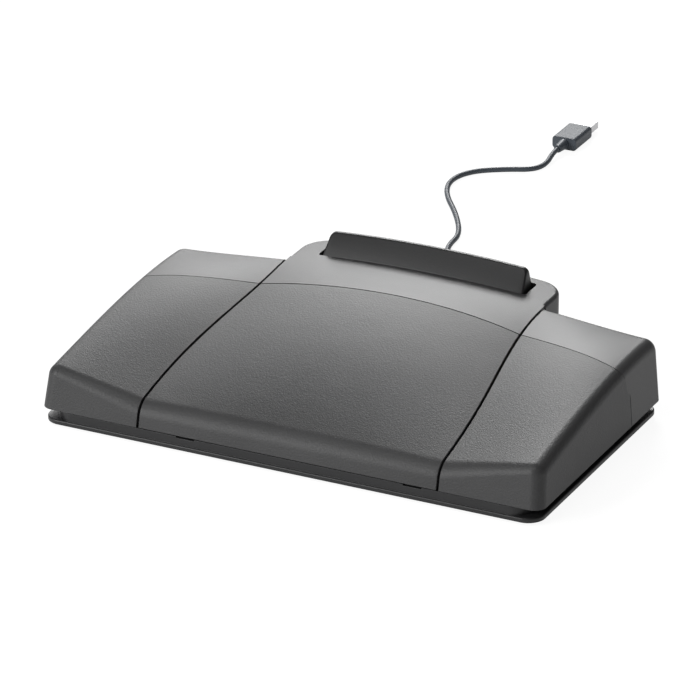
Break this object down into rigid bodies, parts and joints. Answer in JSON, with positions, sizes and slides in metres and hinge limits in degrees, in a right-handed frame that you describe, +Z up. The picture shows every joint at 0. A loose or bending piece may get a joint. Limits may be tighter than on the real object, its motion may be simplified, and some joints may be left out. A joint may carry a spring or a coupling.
{
  "type": "foot_pedal_switch",
  "caption": "Corded foot control with left, centre and right rocking pedals and a tilting bar on a weighted base",
  "frame": {"origin": "on the floor, under the middle of the object without its cord", "axes": "+X to the user's right along the width, +Y away from the user, +Z up"},
  "size_m": [0.3, 0.527, 0.0646],
  "materials": {
    "pedal_plastic": "fine grained matt",
    "top_plastic": "smooth silk",
    "tray_plastic": "satin",
    "soft_rubber": "matt",
    "steel": "bright zinc plated",
    "spring_steel": "satin",
    "board": "solder mask",
    "component": "matt",
    "magnet": "nickel plated",
    "cord_jacket": "satin"
  },
  "bodies": {
    "base": {"base_tray": "tray_plastic", "rest_pad": "soft_rubber", "ballast_plate": "steel", "ballast_screws": "steel", "circuit_board": "board", "board_screws": "steel", "board_chip": "component", "hall_sensors": "component", "board_header": "component", "left_hinge_pins": "steel", "centre_hinge_pins": "steel", "right_hinge_pins": "steel", "travel_bumpers": "soft_rubber", "cable_gland": "soft_rubber", "inner_lead": "cord_jacket", "cord_lead": "cord_jacket", "cord_coil": "cord_jacket", "cord_run": "cord_jacket", "coil_tie": "soft_rubber", "plug_body": "cord_jacket", "plug_shell": "steel", "plug_insert": "component"},
    "left_pedal": {"left_front_panel": "pedal_plastic", "left_rear_panel": "top_plastic", "left_panel_screws": "steel", "left_stop_screw": "steel", "left_magnet": "magnet", "left_return_spring": "spring_steel"},
    "centre_pedal": {"centre_front_panel": "pedal_plastic", "centre_rear_panel": "top_plastic", "centre_panel_screws": "steel", "centre_stop_screws": "steel", "centre_magnet": "magnet", "centre_return_springs": "spring_steel", "bar_pivot_pins": "steel", "bar_springs": "spring_steel"},
    "right_pedal": {"right_front_panel": "pedal_plastic", "right_rear_panel": "top_plastic", "right_panel_screws": "steel", "right_stop_screw": "steel", "right_magnet": "magnet", "right_return_spring": "spring_steel"},
    "tilting_bar": {"bar_cap": "soft_rubber", "bar_carrier": "tray_plastic", "bar_magnet": "magnet"}
  },
  "joints": [
    {"name": "left_pedal_hinge", "type": "hinge", "parent": "base", "child": "left_pedal", "pos_m": [0, -0.09, 0.0085], "axis": [-1, 0, 0], "range_deg": [0, 1.5], "stiffness_Nm_per_rad": 9.5, "springref_deg": -1.83, "deforming": ["left_return_spring"]},
    {"name": "centre_pedal_hinge", "type": "hinge", "parent": "base", "child": "centre_pedal", "pos_m": [0, -0.09, 0.0085], "axis": [-1, 0, 0], "range_deg": [0, 1.5], "stiffness_Nm_per_rad": 9.5, "springref_deg": -1.83, "deforming": ["centre_return_springs"]},
    {"name": "right_pedal_hinge", "type": "hinge", "parent": "base", "child": "right_pedal", "pos_m": [0, -0.09, 0.0085], "axis": [-1, 0, 0], "range_deg": [0, 1.5], "stiffness_Nm_per_rad": 9.5, "springref_deg": -1.83, "deforming": ["right_return_spring"]},
    {"name": "bar_hinge", "type": "hinge", "parent": "centre_pedal", "child": "tilting_bar", "pos_m": [0, 0.076, 0.042], "axis": [-1, 0, 0], "range_deg": [0, 6], "stiffness_Nm_per_rad": 0.6, "springref_deg": -2.86, "deforming": ["bar_springs"]}
  ]
}
